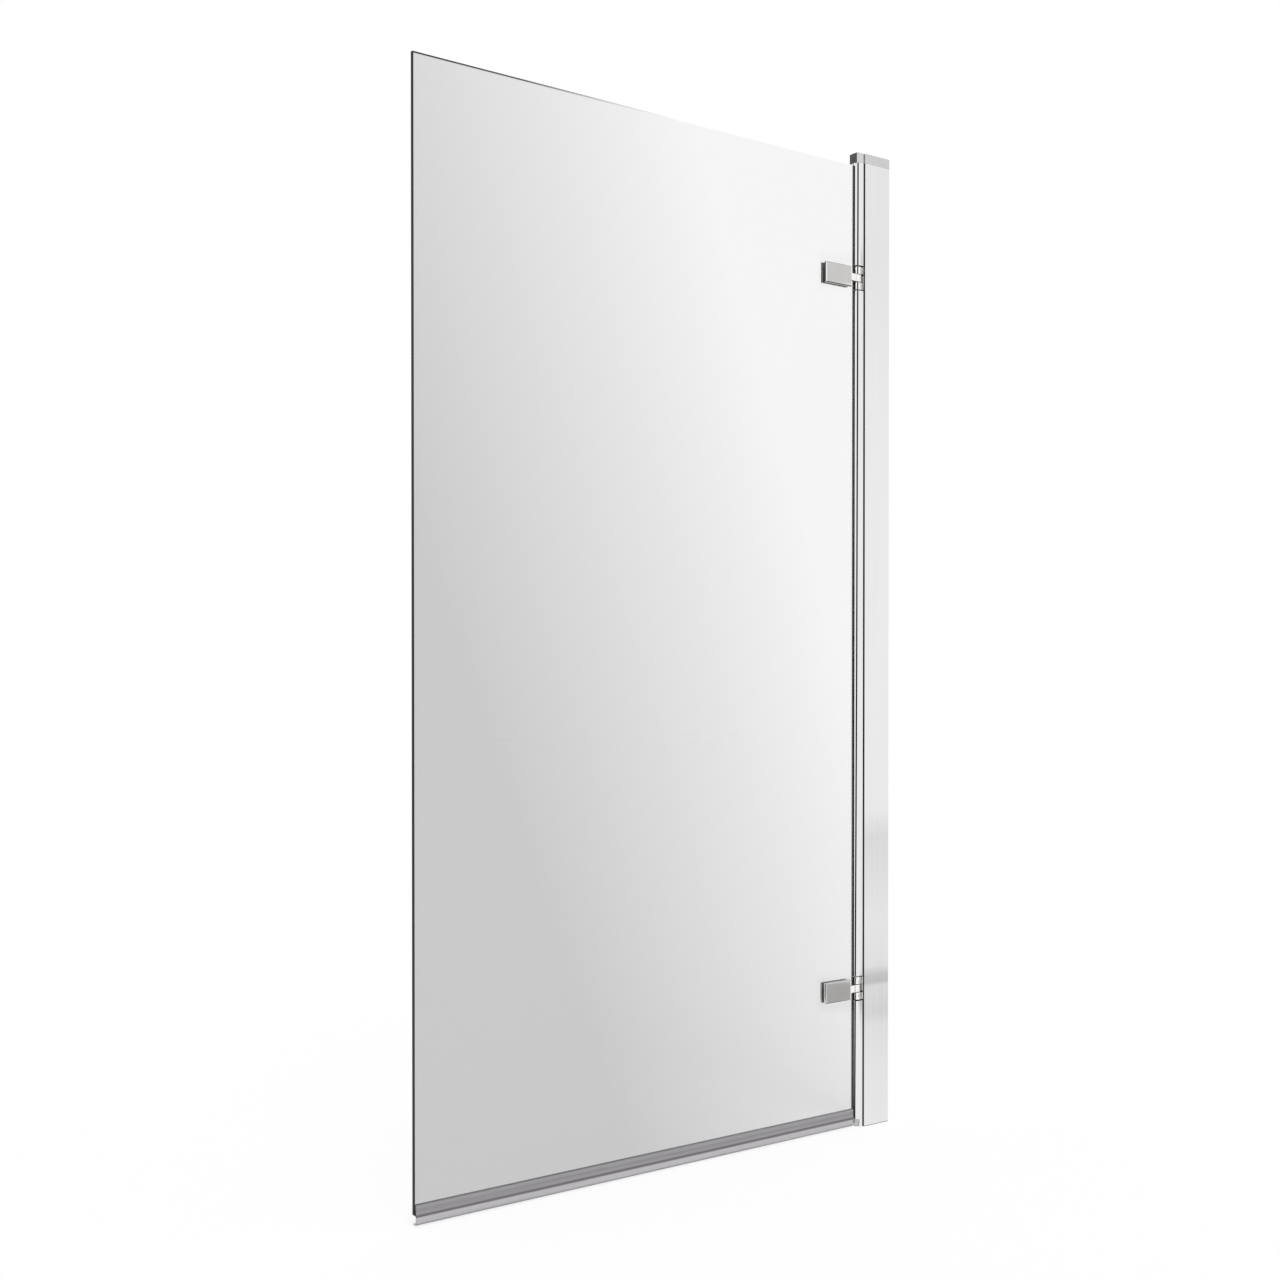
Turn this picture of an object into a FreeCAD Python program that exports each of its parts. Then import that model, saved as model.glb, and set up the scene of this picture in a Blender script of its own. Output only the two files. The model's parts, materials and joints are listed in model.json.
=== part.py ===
import FreeCAD, Part

import math
import os
import re

import Sketcher
from FreeCAD import Placement, Rotation, Vector

# Hinged bath screen: a clear glass pane on two knuckle hinges, carried by a hinge profile that slides
# in and out of a wall profile, with a drip seal along the bottom of the glass.
# The wall is the plane X = 0 and the screen reaches from it towards -X. Z = 0 is the top of the bath
# rim. The glass lies in the plane Y = 0, with the bath on the +Y side and the room on the -Y side.

sizes = {
    # glass pane
    "glass_width": 720,
    "glass_height": 1400,
    "glass_thickness": 6,
    "glass_lift": 15,  # bath rim to the bottom of the glass
    "glass_bevel": 0.6,  # ground edge
    "nose_gap": 0.8,  # glass edge to the round nose of the hinge profile
    # wall profile, a channel screwed to the wall
    "profile_over_glass": 3.5,
    "wall_profile_width": 50,
    "wall_profile_depth": 19,
    "wall_flange": 1.5,
    "wall_web": 2,
    "sealant_chamfer": 1,
    "mouth_round": 0.5,
    "wall_hole": 5.5,
    "wall_hole_from_end": 110,
    "wall_hole_pitch": 400,
    "cap_height": 14.5,
    "cap_roof": 2,
    "cap_edge": 0.6,
    "cap_plug": 20,
    # hinge profile, a closed nose with an open tail that slides in the wall profile
    "slide_gap": 0.4,
    "adjust_travel": 15,
    "tail_space": 10,  # wall face to the tail of the hinge profile
    "pin_from_mouth": 7,  # wall profile mouth to the pin axis
    "post_wall": 1.5,
    "post_web": 2,
    "post_web_from_pin": 10,
    "lock_rib_width": 9,
    "lock_rib_depth": 1.8,
    "nose_cover": 0.1,  # how far the square cap end passes the tip of the nose
    "foot_height": 12,
    "foot_rim_gap": 0.4,
    "foot_taper": 3,
    "plug_gap": 0.1,
    "plug_depth": 10,
    # lock screws, through slots in the wall profile into the hinge profile
    "lock_screw": 4,
    "lock_screw_from_wall": 25,
    "lock_screw_from_end": 75,
    "lock_slot_gap": 0.5,
    "lock_washer": 12,
    "lock_washer_thickness": 1,
    "lock_washer_gap": 0.3,
    "lock_head": 8,
    "lock_head_height": 2.4,
    "lock_cover_wall": 0.9,
    "lock_cover_bevel": 1,
    # hinges
    "hinge_from_glass_top": 165,
    "hinge_from_glass_foot": 190,
    "knuckle": 13,
    "outer_knuckle_height": 10.5,
    "middle_knuckle_height": 10.6,
    "thrust_washer": 0.8,
    "thrust_gap": 0.1,
    "notch_gap": 1.7,  # above and below the barrel
    "notch_from_pin": 6.4,
    "relief_gap": 0.7,  # middle knuckle to the fixed leaf behind it
    "hinge_pin": 5,
    "pin_head": 9,
    "pin_head_height": 1,
    "pin_head_chamfer": 0.4,
    "fit_gap": 0.02,
    "running_gap": 0.05,
    "bush_wall": 1,
    "leaf_side_gap": 0.1,
    "leaf_screw": 5,
    "leaf_screw_pitch": 22,
    "leaf_screw_bite": 5.2,
    "leaf_screw_head": 8.6,
    "leaf_screw_head_height": 2.2,
    # glass clamps
    "clamp_width": 50,
    "clamp_height": 30,
    "clamp_from_pin": 17.5,
    "clamp_plate": 4,
    "clamp_bevel": 1.2,
    "gasket": 1,
    "gasket_inset": 1,
    "clamp_screw": 6,
    "clamp_screw_pitch": 26,
    "clamp_screw_head": 11,
    "clamp_screw_head_height": 2.4,
    "clamp_screw_end": 1.4,  # metal left in front of the screw
    "sleeve_wall": 1.7,
    "hole_gap": 0.1,
    "driver_socket": 4.6,  # across corners
    "driver_socket_depth": 1.4,
    "neck_root": 0.4,  # neck set back from the face of the clamp
    "neck_sweep": 34,  # radius of the hollow side of the neck
    # bottom seal
    "seal_wall": 1,
    "seal_side_gap": 0.1,
    "seal_leg": 12,
    "seal_web": 1.8,
    "seal_inset": 2,  # free end of the glass to the seal
    "seal_nose_gap": 1.8,  # nose of the hinge profile to the seal
    "seal_rim_gap": 2.2,
    "lip_wall": 1.3,
    "lip_reach": 4,
    "lip_bend": 2.6,
}

# lengths that follow from the sizes above; the later ones may use the earlier ones
derived = {
    "profile_top": "glass_lift + glass_height + profile_over_glass",
    "overall_top": "profile_top + cap_height",
    "upper_hinge_height": "glass_lift + glass_height - hinge_from_glass_top",
    "lower_hinge_height": "glass_lift + hinge_from_glass_foot",
    "flange_inside": "wall_profile_depth / 2 - wall_flange",
    "nose_radius": "flange_inside - slide_gap",
    "cell_radius": "nose_radius - post_wall",
    "pin_from_wall": "wall_profile_width + pin_from_mouth",
    "tail_end": "pin_from_wall - tail_space",
    "web_back": "post_web_from_pin + post_web",
    "glass_from_pin": "nose_radius + nose_gap",
    "glass_face": "glass_thickness / 2",
    "gasket_face": "glass_face + gasket",
    "clamp_face": "gasket_face + clamp_plate",
    "clamp_middle": "clamp_from_pin + clamp_width / 2",
    "screw_clearance": "clamp_screw / 2 + hole_gap",
    "knuckle_zone": "middle_knuckle_height + 2 * thrust_washer + 2 * thrust_gap",
    "barrel_height": "knuckle_zone + 2 * outer_knuckle_height",
    "lock_from_pin": "pin_from_wall - lock_screw_from_wall",
    "rib_face": "cell_radius - lock_rib_depth",
    "lock_seat": "wall_profile_depth / 2 + lock_washer_gap",
    "lock_head_seat": "lock_seat + lock_washer_thickness",
    "cover_room": "lock_washer / 2 + hole_gap",
    "cover_inside": "lock_head_seat + lock_head_height + hole_gap",
    "seal_inside": "glass_face + seal_side_gap",
    "seal_outside": "seal_inside + seal_wall",
}

doc = FreeCAD.newDocument("bath_screen")
sheet = doc.addObject("Spreadsheet::Sheet", "dims")
for row, (alias, content) in enumerate({**sizes, **derived}.items(), start=1):
    sheet.set(f"A{row}", alias)
    sheet.set(f"B{row}", f"={content}" if alias in derived else str(content))
    sheet.setAlias(f"B{row}", alias)
doc.recompute()

front, side, plan = "XZ_Plane", "YZ_Plane", "XY_Plane"
hinge_levels = {"upper": "upper_hinge_height", "lower": "lower_hinge_height"}
lock_levels = ["lock_screw_from_end", "profile_top / 2", "profile_top - lock_screw_from_end"]
name_pattern = re.compile(r"[a-z][a-z_]+")
clear = 1  # how far cutting tools run past what they cut
quarter_turn = 90


def formula(text):
    """The text with every size in it pointing at its cell."""
    return name_pattern.sub(lambda found: "dims." + found.group(0), text)


def number(text):
    return float(sheet.evalExpression(formula(text)))


def bind(thing, field, text):
    thing.setExpression(field, formula(text))


def place(thing, along=("0", "0", "0")):
    for axis, text in zip("xyz", along):
        bind(thing, f"Placement.Base.{axis}", text)
    return thing


def turned(thing, axis, angle):
    thing.Placement = Placement(Vector(), Rotation(axis, angle))
    return thing


def new_body(name):
    made = doc.addObject("PartDesign::Body", name)
    made.Label = name
    return made


def new_sketch(owner, name, role, offset="0"):
    made = owner.newObject("Sketcher::SketchObject", f"{owner.Label}_{name}")
    plane = next(item for item in owner.Origin.OriginFeatures if item.Role == role)
    made.AttachmentSupport = [(plane, "")]
    made.MapMode = "FlatFace"
    bind(made, "AttachmentOffset.Base.z", offset)
    return made


def hold_point(sketch, geometry, end, across, up):
    for kind, text in (("DistanceX", across), ("DistanceY", up)):
        index = sketch.addConstraint(
            Sketcher.Constraint(kind, -1, 1, geometry, end, number(text))
        )
        bind(sketch, f"Constraints[{index}]", text)


def bearing(point, centre):
    return math.atan2(point.y - centre.y, point.x - centre.x)


def outline(sketch, corners, arcs=None):
    """Closes a loop through the corners. arcs gives, for the corner where an arc starts, its centre
    and whether it runs anticlockwise; every other edge is straight."""
    arcs = arcs or {}
    first = sketch.GeometryCount
    points = [Vector(number(across), number(up), 0) for across, up in corners]
    ends = []
    for index, start in enumerate(points):
        stop = points[(index + 1) % len(points)]
        if index not in arcs:
            sketch.addGeometry(Part.LineSegment(start, stop))
            ends.append((1, 2))
            continue
        across, up, anticlockwise = arcs[index]
        centre = Vector(number(across), number(up), 0)
        circle = Part.Circle(centre, Vector(0, 0, 1), start.distanceToPoint(centre))
        sweep = [bearing(start, centre), bearing(stop, centre)]
        if not anticlockwise:
            sweep.reverse()
        sketch.addGeometry(Part.ArcOfCircle(circle, *sweep))
        ends.append((1, 2) if anticlockwise else (2, 1))
    for index, (across, up) in enumerate(corners):
        after = (index + 1) % len(corners)
        sketch.addConstraint(
            Sketcher.Constraint("Coincident", first + index, ends[index][1], first + after, ends[after][0])
        )
        hold_point(sketch, first + index, ends[index][0], across, up)
    for index, (across, up, _) in arcs.items():
        chord = points[(index + 1) % len(points)] - points[index]
        kind, text = ("DistanceX", across) if abs(chord.y) > abs(chord.x) else ("DistanceY", up)
        held = sketch.addConstraint(Sketcher.Constraint(kind, -1, 1, first + index, 3, number(text)))
        bind(sketch, f"Constraints[{held}]", text)


def rectangle(sketch, left, right, low, high):
    outline(sketch, [(left, low), (right, low), (right, high), (left, high)])


def circle(sketch, across, up, diameter):
    centre = Vector(number(across), number(up), 0)
    made = sketch.addGeometry(Part.Circle(centre, Vector(0, 0, 1), number(diameter) / 2))
    hold_point(sketch, made, 3, across, up)
    index = sketch.addConstraint(Sketcher.Constraint("Diameter", made, number(diameter)))
    bind(sketch, f"Constraints[{index}]", diameter)


def slot(sketch, left, right, level, width):
    low, high = f"{level} - ({width}) / 2", f"{level} + ({width}) / 2"
    outline(
        sketch,
        [(left, low), (right, low), (right, high), (left, high)],
        {1: (right, level, True), 3: (left, level, True)},
    )


def pad(owner, name, sketch, length):
    made = owner.newObject("PartDesign::Pad", f"{owner.Label}_{name}")
    made.Profile = sketch
    bind(made, "Length", length)
    sketch.Visibility = False
    doc.recompute()
    return made


def pocket(owner, name, sketch, length, backwards=False):
    """Cuts away from the sketch's own normal, or along it when backwards."""
    before = owner.Shape.Volume
    made = owner.newObject("PartDesign::Pocket", f"{owner.Label}_{name}")
    made.Profile = sketch
    made.Reversed = backwards
    bind(made, "Length", length)
    doc.recompute()
    if owner.Shape.Volume >= before:
        raise RuntimeError(f"{owner.Label} {name} cuts nothing")
    return made


def revolve(owner, name, sketch):
    made = owner.newObject("PartDesign::Revolution", f"{owner.Label}_{name}")
    made.Profile = sketch
    made.ReferenceAxis = (sketch, ["V_Axis"])
    made.Angle = 4 * quarter_turn
    doc.recompute()
    return made


def dress(owner, kind, name, size, wanted):
    """Fillets or chamfers the edges of the body whose bounds the test accepts."""
    tip = owner.Tip
    names = [
        f"Edge{index}" for index, edge in enumerate(tip.Shape.Edges, start=1) if wanted(edge.BoundBox)
    ]
    made = owner.newObject(f"PartDesign::{kind}", f"{owner.Label}_{name}")
    made.Base = (tip, names)
    bind(made, "Radius" if kind == "Fillet" else "Size", size)
    doc.recompute()
    return made


def near(first, second):
    tolerance = 1e-4
    return abs(first - second) < tolerance


def cylinder(name, diameter, length, axis, along):
    made = doc.addObject("Part::Cylinder", name)
    if axis == "X":
        turned(made, Vector(0, 1, 0), quarter_turn)
    if axis == "Y":
        turned(made, Vector(1, 0, 0), -quarter_turn)
    bind(made, "Radius", f"({diameter}) / 2")
    bind(made, "Height", length)
    return place(made, along)


def joined(name, kind, first, second):
    made = doc.addObject(f"Part::{kind}", name)
    made.Base = first
    made.Tool = second
    return made


def group(name, members, along=("0", "0", "0")):
    """Several alike pieces in one sub-part, each a solid of its own."""
    made = doc.addObject("Part::Compound", name)
    made.Label = name
    made.Links = members
    return place(made, along)


# --- pieces fixed to the wall ---


def wall_side_outline(sketch, inner=()):
    """The outside of the wall profile, closed across its mouth or by the inner corners."""
    half = "wall_profile_depth / 2"
    outline(
        sketch,
        [
            ("-wall_profile_width", f"-{half}"),
            ("-sealant_chamfer", f"-{half}"),
            ("0", f"sealant_chamfer - {half}"),
            ("0", f"{half} - sealant_chamfer"),
            ("-sealant_chamfer", half),
            ("-wall_profile_width", half),
            *inner,
        ],
    )


def wall_profile():
    made = new_body("wall_profile")
    section = new_sketch(made, "section", plan)
    channel = [
        ("-wall_profile_width", "flange_inside"),
        ("-wall_web", "flange_inside"),
        ("-wall_web", "-flange_inside"),
        ("-wall_profile_width", "-flange_inside"),
    ]
    wall_side_outline(section, channel)
    pad(made, "channel", section, "profile_top")
    mouth, outer = -number("wall_profile_width"), number("wall_profile_depth / 2")
    dress(
        made,
        "Fillet",
        "mouth",
        "mouth_round",
        lambda box: near(box.XMin, mouth)
        and near(box.XMax, mouth)
        and near(box.YMin, box.YMax)
        and near(abs(box.YMin), outer),
    )
    holes = new_sketch(made, "wall_holes", side)
    for from_end in ("wall_hole_from_end", "(wall_hole_from_end + wall_hole_pitch)"):
        circle(holes, "0", from_end, "wall_hole")
        circle(holes, "0", f"profile_top - {from_end}", "wall_hole")
    pocket(made, "wall_holes", holes, f"wall_web + {clear}")
    slots = new_sketch(made, "lock_slots", front, f"{clear} - flange_inside")
    near_wall = "-lock_screw_from_wall"
    for level in lock_levels:
        slot(slots, f"{near_wall} - adjust_travel", near_wall, level, "lock_screw + 2 * lock_slot_gap")
    pocket(made, "lock_slots", slots, f"wall_flange + 2 * {clear}")
    return made


def wall_profile_cap():
    """A hood over the mouth side, where the cap of the hinge profile slides in, and a plug behind it."""
    made = new_body("wall_profile_cap")
    head = new_sketch(made, "head", plan, "profile_top")
    wall_side_outline(head)
    pad(made, "head", head, "cap_height")
    plug = new_sketch(made, "plug", plan, "profile_top - cap_plug")
    mouth_side, reach = "slide_gap - tail_space", "(flange_inside - plug_gap)"
    rectangle(plug, mouth_side, "-wall_web - plug_gap", f"-{reach}", reach)
    pad(made, "plug", plug, f"cap_plug + {clear}")
    hood = new_sketch(made, "hood", plan, "overall_top - cap_roof")
    rectangle(hood, f"-wall_profile_width - {clear}", mouth_side, "-flange_inside", "flange_inside")
    pocket(made, "hood", hood, "cap_height")
    round_top(made)
    return made


def round_top(made):
    top = number("overall_top")
    dress(
        made, "Fillet", "top", "cap_edge", lambda box: near(box.ZMin, top) and near(box.ZMax, top)
    )


# --- pieces of the sliding hinge post; their own origin is the foot of the pin axis ---


def on_post(thing):
    return place(thing, ("-pin_from_wall", "0", "0"))


def hinge_profile():
    """Round nose about the pin axis, a cross web, and a tail open towards the wall."""
    made = new_body("hinge_profile")
    section = new_sketch(made, "section", plan, "foot_height")
    outline(
        section,
        [
            ("0", "-nose_radius"),
            ("tail_end", "-nose_radius"),
            ("tail_end", "-cell_radius"),
            ("web_back", "-cell_radius"),
            ("web_back", "cell_radius"),
            ("lock_from_pin - lock_rib_width / 2", "cell_radius"),
            ("lock_from_pin - lock_rib_width / 2", "rib_face"),
            ("lock_from_pin + lock_rib_width / 2", "rib_face"),
            ("lock_from_pin + lock_rib_width / 2", "cell_radius"),
            ("tail_end", "cell_radius"),
            ("tail_end", "nose_radius"),
            ("0", "nose_radius"),
        ],
        {11: ("0", "0", True)},
    )
    outline(
        section,
        [
            ("0", "-cell_radius"),
            ("post_web_from_pin", "-cell_radius"),
            ("post_web_from_pin", "cell_radius"),
            ("0", "cell_radius"),
        ],
        {3: ("0", "0", True)},
    )
    pad(made, "extrusion", section, "profile_top - foot_height")
    for level, height in hinge_levels.items():
        notch = new_sketch(made, f"{level}_notch", front, f"nose_radius + {clear}")
        reach = "(barrel_height / 2 + notch_gap)"
        low, high = f"{height} - {reach}", f"{height} + {reach}"
        rectangle(notch, f"-nose_radius - {clear}", "notch_from_pin", low, high)
        pocket(made, f"{level}_notch", notch, f"2 * nose_radius + 2 * {clear}")
        holes = new_sketch(made, f"{level}_leaf_holes", side, f"web_back + {clear}")
        for sign in ("-", "+"):
            circle(holes, "0", f"{height} {sign} leaf_screw_pitch / 2", "leaf_screw + 2 * hole_gap")
        pocket(made, f"{level}_leaf_holes", holes, f"post_web + 2 * {clear}")
    threads = new_sketch(made, "lock_holes", front, f"{clear} - rib_face")
    for level in lock_levels:
        circle(threads, "lock_from_pin", level, "lock_screw + 2 * fit_gap")
    pocket(made, "lock_holes", threads, f"post_wall + lock_rib_depth + 2 * {clear}")
    return on_post(made)


def add_post_plugs(made, low, length):
    """Two plugs that push into the hinge profile: a round one in the nose and a square one behind."""
    cell = new_sketch(made, "cell_plug", plan, low)
    half = "cell_radius - plug_gap"
    web = "post_web_from_pin - plug_gap"
    outline(
        cell,
        [("0", f"-({half})"), (web, f"-({half})"), (web, half), ("0", half)],
        {3: ("0", "0", True)},
    )
    pad(made, "cell_plug", cell, length)
    tail = new_sketch(made, "tail_plug", plan, low)
    rectangle(
        tail,
        "web_back + plug_gap",
        "tail_end - post_wall",
        f"-({half})",
        "rib_face - plug_gap",
    )
    pad(made, "tail_plug", tail, length)


def hinge_profile_cap():
    """A square-ended head over the nose and a lower tongue that hides in the hood of the wall cap."""
    made = new_body("hinge_profile_cap")
    add_post_plugs(made, "profile_top - plug_depth", f"plug_depth + {clear}")
    tongue = new_sketch(made, "tongue", plan, "profile_top")
    rectangle(tongue, "0", "tail_end", "-nose_radius", "nose_radius")
    pad(made, "tongue", tongue, "cap_height - cap_roof - slide_gap")
    head = new_sketch(made, "head", plan, "profile_top")
    rectangle(head, "-nose_radius - nose_cover", "notch_from_pin", "-nose_radius", "nose_radius")
    pad(made, "head", head, "cap_height")
    round_top(made)
    return on_post(made)


def hinge_profile_foot():
    """Closes the bottom of the hinge profile, with a nose that tapers inwards towards the bath rim."""
    made = new_body("hinge_profile_foot")
    base = new_sketch(made, "base", plan, "foot_rim_gap")
    rectangle(base, "0", "tail_end", "-nose_radius", "nose_radius")
    pad(made, "base", base, "foot_height - foot_rim_gap")
    taper = new_sketch(made, "taper", front)
    outline(
        taper,
        [
            ("0", "foot_rim_gap"),
            ("nose_radius - foot_taper", "foot_rim_gap"),
            ("nose_radius", "foot_height"),
            ("0", "foot_height"),
        ],
    )
    revolve(made, "taper", taper)
    add_post_plugs(made, f"foot_height - {clear}", f"plug_depth + {clear}")
    return on_post(made)


def lock_screws():
    members = []
    for index, level in enumerate(lock_levels, start=1):
        start = f"rib_face - {clear}"
        shank = cylinder(
            f"lock_shank_{index}", "lock_screw", f"lock_head_seat - ({start})", "Y",
            ("lock_from_pin", start, level),
        )
        head = cylinder(
            f"lock_head_{index}", "lock_head", "lock_head_height", "Y",
            ("lock_from_pin", "lock_head_seat", level),
        )
        members.append(joined(f"lock_screw_{index}", "Fuse", shank, head))
    return on_post(group("lock_screws", members))


def lock_screw_washers():
    members = []
    for index, level in enumerate(lock_levels, start=1):
        along = ("lock_from_pin", "lock_seat", level)
        hole_size = "lock_screw + 2 * fit_gap"
        disc = cylinder(f"lock_disc_{index}", "lock_washer", "lock_washer_thickness", "Y", along)
        hole = cylinder(f"lock_disc_hole_{index}", hole_size, "lock_washer_thickness", "Y", along)
        members.append(joined(f"lock_washer_{index}", "Cut", disc, hole))
    return on_post(group("lock_screw_washers", members))


def lock_screw_covers():
    """Round snap covers, hollow over the washers and screw heads."""
    members = []
    outside = "cover_inside + lock_cover_wall"
    for index, level in enumerate(lock_levels, start=1):
        cover = new_body(f"lock_cover_{index}")
        half = new_sketch(cover, "half", plan)
        outline(
            half,
            [
                ("cover_room", "lock_seat"),
                ("cover_room + lock_cover_wall", "lock_seat"),
                ("cover_room + lock_cover_wall", f"{outside} - lock_cover_bevel"),
                ("cover_room + lock_cover_wall - lock_cover_bevel", outside),
                ("0", outside),
                ("0", "cover_inside"),
                ("cover_room", "cover_inside"),
            ],
        )
        revolve(cover, "dome", half)
        members.append(place(cover, ("lock_from_pin", "0", level)))
    return on_post(group("lock_screw_covers", members))


# --- pieces of each hinge; their own origin is the middle of the barrel on the pin axis ---


def on_hinge(thing, level):
    return place(thing, ("-pin_from_wall", "0", hinge_levels[level]))


def hinge_leaf(level):
    """Fixed block in the notch of the hinge profile, with the two outer knuckles."""
    made = new_body(f"{level}_hinge_leaf")
    block = new_sketch(made, "block", plan, "-barrel_height / 2")
    half = "cell_radius - leaf_side_gap"
    rectangle(block, "0", "post_web_from_pin", f"-({half})", half)
    pad(made, "block", block, "barrel_height")
    barrel = new_sketch(made, "barrel", plan, "-barrel_height / 2")
    circle(barrel, "0", "0", "knuckle")
    pad(made, "barrel", barrel, "barrel_height")
    relief = new_sketch(made, "relief", plan, "knuckle_zone / 2")
    reach = "knuckle / 2 + relief_gap"
    rectangle(relief, f"-knuckle / 2 - {clear}", reach, "-nose_radius", "nose_radius")
    pocket(made, "relief", relief, "knuckle_zone")
    bore = new_sketch(made, "bore", plan, f"barrel_height / 2 + {clear}")
    circle(bore, "0", "0", "hinge_pin + 2 * fit_gap")
    pocket(made, "bore", bore, f"barrel_height + 2 * {clear}")
    threads = new_sketch(made, "threads", side, f"post_web_from_pin + {clear}")
    for sign in ("-", ""):
        circle(threads, "0", f"{sign}leaf_screw_pitch / 2", "leaf_screw + 2 * fit_gap")
    pocket(made, "threads", threads, f"leaf_screw_bite + {clear}")
    return on_hinge(made, level)


def leaf_screws(level):
    members = []
    start = "post_web_from_pin - leaf_screw_bite + fit_gap"
    for index, sign in enumerate(("-", ""), start=1):
        high = f"{sign}leaf_screw_pitch / 2"
        shank = cylinder(
            f"{level}_leaf_shank_{index}", "leaf_screw", f"web_back - ({start})", "X",
            (start, "0", high),
        )
        head = cylinder(
            f"{level}_leaf_head_{index}", "leaf_screw_head", "leaf_screw_head_height", "X",
            ("web_back", "0", high),
        )
        members.append(joined(f"{level}_leaf_screw_{index}", "Fuse", shank, head))
    return on_hinge(group(f"{level}_leaf_screws", members), level)


def hinge_pin(level):
    made = new_body(f"{level}_hinge_pin")
    half = new_sketch(made, "half", front)
    top = "barrel_height / 2 + pin_head_height"
    outline(
        half,
        [
            ("0", "-barrel_height / 2"),
            ("hinge_pin / 2", "-barrel_height / 2"),
            ("hinge_pin / 2", "barrel_height / 2"),
            ("pin_head / 2", "barrel_height / 2"),
            ("pin_head / 2", f"{top} - pin_head_chamfer"),
            ("pin_head / 2 - pin_head_chamfer", top),
            ("0", top),
        ],
    )
    revolve(made, "pin", half)
    return on_hinge(made, level)


def thrust_washers(level):
    members = []
    seats = {"low": "-knuckle_zone / 2", "high": "knuckle_zone / 2 - thrust_washer"}
    for end, low in seats.items():
        along, bore = ("0", "0", low), "hinge_pin + 2 * fit_gap"
        disc = cylinder(f"{level}_{end}_disc", "knuckle", "thrust_washer", "Z", along)
        hole = cylinder(f"{level}_{end}_disc_hole", bore, "thrust_washer", "Z", along)
        members.append(joined(f"{level}_{end}_washer", "Cut", disc, hole))
    return on_hinge(group(f"{level}_thrust_washers", members), level)


def knuckle_bush(level):
    made = new_body(f"{level}_knuckle_bush")
    ring = new_sketch(made, "ring", plan, "-middle_knuckle_height / 2")
    circle(ring, "0", "0", "hinge_pin + 2 * running_gap + 2 * bush_wall")
    circle(ring, "0", "0", "hinge_pin + 2 * running_gap")
    pad(made, "ring", ring, "middle_knuckle_height")
    return on_hinge(made, level)


def clamp_outline(sketch, inset="0"):
    high = f"clamp_height / 2 - {inset}"
    rectangle(
        sketch,
        f"{inset} - clamp_from_pin - clamp_width",
        f"-clamp_from_pin - {inset}",
        f"-({high})",
        high,
    )


def screw_places():
    return [f"-clamp_middle {sign} clamp_screw_pitch / 2" for sign in ("-", "+")]


def front_clamp(level):
    """Cover plate on the room side, with a hollow-sided arm to the middle knuckle."""
    made = new_body(f"{level}_front_clamp")
    plate = new_sketch(made, "plate", front, "gasket_face")
    clamp_outline(plate)
    pad(made, "plate", plate, "clamp_plate")
    bevel_face(made, -number("clamp_face"))
    arm = new_sketch(made, "arm", plan, "-middle_knuckle_height / 2")
    draw_arm(arm)
    pad(made, "arm", arm, "middle_knuckle_height")
    bore = new_sketch(made, "bore", plan, f"middle_knuckle_height / 2 + {clear}")
    circle(bore, "0", "0", "hinge_pin + 2 * (running_gap + bush_wall + fit_gap)")
    pocket(made, "bore", bore, f"middle_knuckle_height + 2 * {clear}")
    threads = new_sketch(made, "threads", front, "gasket_face")
    for across in screw_places():
        circle(threads, across, "0", "clamp_screw + 2 * fit_gap")
    pocket(made, "threads", threads, "clamp_plate - clamp_screw_end", backwards=True)
    return on_hinge(made, level)


def draw_arm(sketch):
    """Round knuckle about the pin, run out to the plate by a hollow sweep that is tangent to it."""
    radius, sweep = number("knuckle") / 2, number("neck_sweep")
    inner, root = -number("gasket_face"), number("neck_root") - number("clamp_face")
    edge, overlap = -number("clamp_from_pin"), -number("clamp_from_pin + clamp_bevel")
    corner = Vector(-math.sqrt(radius**2 - inner**2), inner, 0)
    plate = [Vector(overlap, inner, 0), Vector(overlap, root, 0), Vector(edge, root, 0)]
    centre = sweep_centre(plate[-1], radius, sweep)
    touch = centre * (radius / (radius + sweep))
    up = Vector(0, 0, 1)
    hollow = [bearing(touch, centre), bearing(plate[-1], centre)]
    round_end = [bearing(touch, Vector()), bearing(corner, Vector())]
    sketch.addGeometry(
        [
            Part.LineSegment(corner, plate[0]),
            Part.LineSegment(plate[0], plate[1]),
            Part.LineSegment(plate[1], plate[2]),
            Part.ArcOfCircle(Part.Circle(centre, up, sweep), *hollow),
            Part.ArcOfCircle(Part.Circle(Vector(), up, radius), *round_end),
        ]
    )
    for first, end, second, start in ((0, 2, 1, 1), (1, 2, 2, 1), (2, 2, 3, 2), (4, 2, 0, 1)):
        sketch.addConstraint(Sketcher.Constraint("Coincident", first, end, second, start))
    sketch.addConstraint(Sketcher.Constraint("Coincident", 4, 3, -1, 1))
    sketch.addConstraint(Sketcher.Constraint("Tangent", 3, 1, 4, 1))
    sketch.addConstraint(Sketcher.Constraint("Horizontal", 0))
    hold_point(sketch, 1, 1, "-clamp_from_pin - clamp_bevel", "-gasket_face")
    hold_point(sketch, 2, 1, "-clamp_from_pin - clamp_bevel", "neck_root - clamp_face")
    hold_point(sketch, 2, 2, "-clamp_from_pin", "neck_root - clamp_face")
    for index, text, value in ((3, "neck_sweep", sweep), (4, "knuckle / 2", radius)):
        held = sketch.addConstraint(Sketcher.Constraint("Radius", index, value))
        bind(sketch, f"Constraints[{held}]", text)


def sweep_centre(start, radius, sweep):
    """Centre, on the room side, of the circle through start that touches the knuckle from outside."""
    apart = start.Length
    along = (apart**2 + (radius + sweep) ** 2 - sweep**2) / (2 * apart)
    away = math.sqrt((radius + sweep) ** 2 - along**2)
    ahead = start / apart
    return ahead * along + Vector(-ahead.y, ahead.x, 0) * away


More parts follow.
